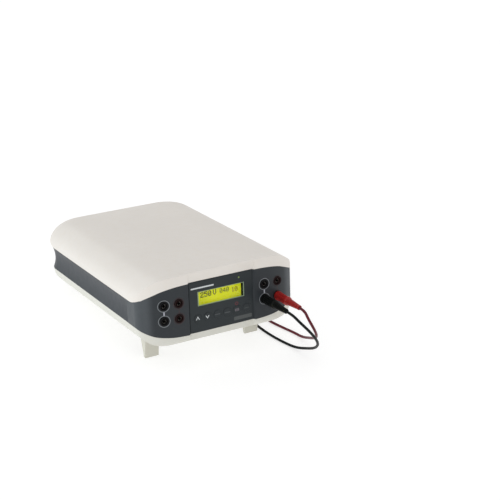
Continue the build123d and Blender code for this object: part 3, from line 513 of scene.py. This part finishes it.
def plug_piece(name, place, mat, node):
    """Safety plug: fixed shroud, fluted grip and a ribbed boot that tapers to the lead."""
    prof = [(3.25, -18.2), (3.45, -18.5), (3.9, -18.5), (4.1, -18.2), (4.1, -0.4), (4.3, -0.05), (5.1, 0.0), (5.45, 0.15),
            (5.6, 0.5), (5.6, 2.7), (5.5, 2.95), (5.12, 3.05), (5.05, 3.3), (5.05, 3.9), (5.12, 4.15), (5.45, 4.3), (5.58, 4.6)]
    for k in range(15):
        z = 5.2 + k * 1.05
        e = min(1.0, k / 2.0, (14 - k) / 2.0)
        prof.append((5.6 - 0.25 * math.sin(math.pi * k / 14), z, 0.5 * e))
    prof += [(5.58, 20.6), (5.6, 21.0), (5.6, 23.6), (5.5, 24.2), (5.2, 24.75), (4.75, 25.0), (4.6, 25.15)]
    for k in range(8):
        z0 = 26.4 + k * 2.75
        r = 4.55 - 0.065 * (z0 - 25.0)
        prof += [(r, z0 - 0.85), (r, z0), (r - 0.08, z0 + 0.15), (r - 0.55, z0 + 0.3), (r - 0.62, z0 + 0.75), (r - 0.5, z0 + 1.25), (r - 0.1, z0 + 1.4)]
    prof += [(3.12, 48.6), (3.1, 49.9), (2.95, 50.35), (2.6, 50.5), (1.74, 50.5), (1.72, 45.5)]
    v, f = lathe(prof, 80, flutes=10)
    inner = [(3.25, -18.2), (3.25, -0.8), (2.05, -0.6), (2.05, -3.0)]
    v2, f2 = lathe(inner, 80)
    k = len(v)
    v += v2
    f += [tuple(i + k for i in q) for q in f2]
    o = sharpen(new_obj(name, v, f, mat, place), 34)
    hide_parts(node)
    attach(o, "case")
    return o


def plug_place_near(x, seat):
    return PLACE @ Matrix.Translation((x, seat - 1.8 - 0.25, SOCKET_Z[0])) @ Matrix.Rotation(math.pi / 2, 4, "X")


def plug_place_far(coil):
    return MM @ Matrix.Translation((coil[0] - 19.0, coil[1] + SHIFT_Y + 22.02 + PLUG_LEN, 5.75)) @ Matrix.Rotation(math.pi / 2, 4, "X")


near_black = plug_piece("plug_near_black", plug_place_near(58.0, -2.0), "plug_black", "black_plug")
near_red = plug_piece("plug_near_red", plug_place_near(77.0, -0.6), "plug_red", "red_plug")
far_black = plug_piece("plug_far_black", plug_place_far(COIL_BLACK), "plug_black", "black_far_plug")
far_red = plug_piece("plug_far_red", plug_place_far(COIL_RED), "plug_red", "red_far_plug")
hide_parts("black_lead", "black_lead_coil")
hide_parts("red_lead", "red_lead_coil")


# ---- printed marks -------------------------------------------------------------------
def ring_print(name, cx, cz, r0, r1, mat, lift=0.04, n=96):
    """A printed ring that follows the curved front."""
    verts, faces = [], []
    for k, r in enumerate((r0, (r0 + r1) / 2, r1)):
        for i in range(n):
            a = 2 * math.pi * i / n
            x, z = cx + r * math.cos(a), cz + r * math.sin(a)
            verts.append((x, front_y(x) - lift, z))
    for k in range(2):
        for i in range(n):
            j = (i + 1) % n
            faces.append((k * n + i, k * n + j, (k + 1) * n + j, (k + 1) * n + i))
    o = new_obj(name, verts, faces, mat, PLACE)
    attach(o, "case")
    return o


def strip_print(name, x0, x1, z0, z1, mat, y=None, lift=0.04, body="case", r=0.0):
    """A printed bar; on the front face, or at the given y. Its corners are rounded by r."""
    pts = []
    if r <= 0:
        pts = [(x0, z0), (x1, z0), (x1, z1), (x0, z1)]
    else:
        for qx, qz, a0 in ((x1 - r, z0 + r, -90), (x1 - r, z1 - r, 0), (x0 + r, z1 - r, 90), (x0 + r, z0 + r, 180)):
            for i in range(7):
                a = math.radians(a0 + 15 * i)
                pts.append((qx + r * math.cos(a), qz + r * math.sin(a)))
    verts = [(x, (front_y(x) if y is None else y) - lift, z) for x, z in pts]
    o = new_obj(name, verts, [tuple(range(len(verts)))], mat, PLACE, smooth=False)
    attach(o, body)
    return o


def shape_print(name, polys, mat, y, lift=0.04, body="case"):
    """Flat printed shapes from outlines of (x, z) points at the given y."""
    verts, faces = [], []
    for poly in polys:
        k = len(verts)
        verts += [(x, y - lift, z) for x, z in poly]
        faces.append(tuple(range(k, k + len(poly))))
    o = new_obj(name, verts, faces, mat, PLACE, smooth=False)
    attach(o, body)
    return o


for side, sx in (("a", -1), ("b", 1)):
    for lvl, z in (("lower", SOCKET_Z[0]), ("upper", SOCKET_Z[1])):
        # the black socket is always the left one of a pair
        xb, xr = (-77.0, -58.0) if sx < 0 else (58.0, 77.0)
        ring_print(f"ring_{side}_{lvl}_black", xb, z, 6.6, 7.35, "ink_ring")
        # the right-hand red rings take the darker red ink as painted shade
        ring_print(f"ring_{side}_{lvl}_red", xr, z, 6.7, 7.2, "ink_red" if sx < 0 else "ink_red_shaded")
    strip_print(f"link_{side}_black", xb - 0.8, xb + 0.8, SOCKET_Z[0] + 7.3, SOCKET_Z[1] - 7.3, "ink_link")
    strip_print(f"link_{side}_red", xr - 0.35, xr + 0.35, SOCKET_Z[0] + 7.2, SOCKET_Z[1] - 7.2, "ink_red")


def chevron(cx, cz, up, w=5.0, h=3.4, t=1.25):
    s = 1 if up else -1
    left = [(cx - w / 2, cz - s * h / 2), (cx - w / 2 + t * 1.15, cz - s * h / 2), (cx, cz + s * (h / 2 - t * 1.1)), (cx, cz + s * h / 2)]
    right = [(2 * cx - x, z) for x, z in left]
    return [left, right]


KEY_Y = -0.95
shape_print("mark_up", chevron(-32.8, 27.9, True, w=5.2, h=4.5, t=1.12), "ink_white", KEY_Y, body="key_up")
shape_print("mark_down", chevron(-19.8, 26.5, False, w=5.2, h=3.9, t=1.15), "ink_white", KEY_Y, body="key_down")
for nm, x0, x1, z0, mat in (("mode", -9.6, -2.4, 26.4, "ink_grey"), ("enter", 3.4, 11.6, 25.8, "ink_grey"), ("start", 30.6, 36.8, 26.0, "ink_faint")):
    # a row of short uneven dashes on a key
    for k in range(5):
        w = (x1 - x0) / 5
        strip_print(f"mark_{nm}_{k}", x0 + k * w, x0 + (k + 0.78) * w, z0 + 0.12 * (k % 2), z0 + 1.25 + 0.1 * (k % 3), mat, y=KEY_Y, body=f"key_{nm}", r=0.3)
for k in range(3):
    strip_print(f"mark_stop_{k}", 17.8 + 2.0 * k, 19.3 + 2.0 * k, 25.2, 28.6 + 0.4 * (k % 2), "ink_stop_label", y=KEY_Y, body="key_stop", r=0.5)
strip_print("mark_bar", 16.2, 41.0, 13.6, 18.3, "ink_bar", y=-0.5, r=1.2)
strip_print("trim_bar", -40.4, -9.6, 64.5, 66.3, "ink_white", y=-0.5, r=0.6)


def ring_flat(name, cx, cz, r0, r1, mat, y, lift=0.04, n=48, body="case"):
    verts = []
    for r in (r0, r1):
        verts += [(cx + r * math.cos(2 * math.pi * i / n), y - lift, cz + r * math.sin(2 * math.pi * i / n)) for i in range(n)]
    faces = [(i, (i + 1) % n, n + (i + 1) % n, n + i) for i in range(n)]
    o = new_obj(name, verts, faces, mat, PLACE, smooth=False)
    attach(o, body)
    return o


ring_flat("mark_stop_ring", 20.5, 34.95, 1.15, 2.4, "ink_stop", -0.5)
ring_flat("mark_lamp", 24.5, 67.6, 0.05, 1.05, "ink_lamp", -0.5)

# printed edge of the window and the shaded end of the display glass
for nm, x0, x1, z0, z1 in (("left", -31.6, -30.2, 42.1, 60.5), ("right", 30.3, 31.6, 42.1, 60.5),
                           ("low", -30.2, 30.3, 42.1, 43.3), ("high", -30.2, 30.3, 59.6, 60.5)):
    strip_print(f"window_edge_{nm}", x0, x1, z0, z1, "lcd_frame", y=0.0, lift=0.03)
strip_print("glass_shade_right", 29.2, 32.3, 41.6, 61.0, "lcd_shade", y=3.7, lift=0.04)
strip_print("glass_shade_left", -32.3, -30.4, 41.6, 61.0, "lcd_shade", y=3.7, lift=0.04)

# ---- display reading: plain digits on the dot raster ------------------------------------
FONT = {
    "1": ("00100", "01100", "00100", "00100", "00100", "00100", "01110"),
    "0": ("01110", "10001", "10011", "10101", "11001", "10001", "01110"),
    "2": ("01110", "10001", "00001", "00110", "01000", "10000", "11111"),
    "4": ("00010", "00110", "01010", "10010", "11111", "00010", "00010"),
    "5": ("11111", "10000", "11110", "00001", "00001", "10001", "01110"),
    "V": ("10001", "10001", "10001", "10001", "10001", "01010", "00100"),
}


def reading(name, text, x0, z_top, mat, px=0.72, pz=0.80, gap=-0.22):
    polys = []
    for k, ch in enumerate(text):
        rows = FONT.get(ch)
        if not rows:
            continue
        cx = x0 + k * px * 6.1
        for r, row in enumerate(rows):
            for c, bit in enumerate(row):
                if bit == "1":
                    a, b = cx + c * px, z_top - r * pz
                    polys.append([(a + gap / 2, b - pz + gap / 2), (a + px - gap / 2, b - pz + gap / 2), (a + px - gap / 2, b - gap / 2), (a + gap / 2, b - gap / 2)])
    return shape_print(name, polys, mat, 3.7, lift=0.03)


reading("reading_main", "250", -25.9, 57.4, "lcd_digit", px=0.84, pz=0.94)
reading("reading_unit", "V", -8.9, 57.4, "lcd_digit", px=0.84, pz=0.94)
reading("reading_side", "040", 0.2, 56.9, "lcd_faint")
reading("reading_end", "10", 16.4, 55.2, "lcd_warm")

# ---- floor, light ----------------------------------------------------------------------
n = Nodes("floor")
speck = n.noise(6.0, 4.0, 0.6)
n.surface(n.mix(n.remap(speck, 0.3, 0.7), (0.45, 0.45, 0.449), (0.47, 0.47, 0.469)), 0.85, spec=0.05)
n.bsdf.inputs["Emission Color"].default_value = (1.0, 1.0, 1.0, 1.0)
n.bsdf.inputs["Emission Strength"].default_value = 0.65
floor = new_obj("floor", [(-6, -6, 0), (6, -6, 0), (6, 6, 0), (-6, 6, 0)], [(0, 1, 2, 3)], n.mat, smooth=False)

w = bpy.data.worlds.new("studio")
w.use_nodes = True
bg = w.node_tree.nodes["Background"]
bg.inputs["Color"].default_value = (1.0, 1.0, 1.0, 1.0)
bg.inputs["Strength"].default_value = 0.83
bpy.context.scene.world = w
bpy.context.scene.view_settings.view_transform = "Standard"


def area(name, at, target, size, power, color=(1, 1, 1)):
    li = bpy.data.lights.new(name, "AREA")
    li.shape = "RECTANGLE"
    li.size, li.size_y = size
    li.energy = power
    li.color = color
    o = bpy.data.objects.new(name, li)
    bpy.context.scene.collection.objects.link(o)
    o.location = at
    d = Vector(target) - Vector(at)
    o.rotation_euler = d.to_track_quat("-Z", "Y").to_euler()
    return o


area("key", (-1.78, 0.18, 0.38), (0, 0, 0.05), (1.4, 0.7), 8.6, (0.90, 1.0, 1.06))
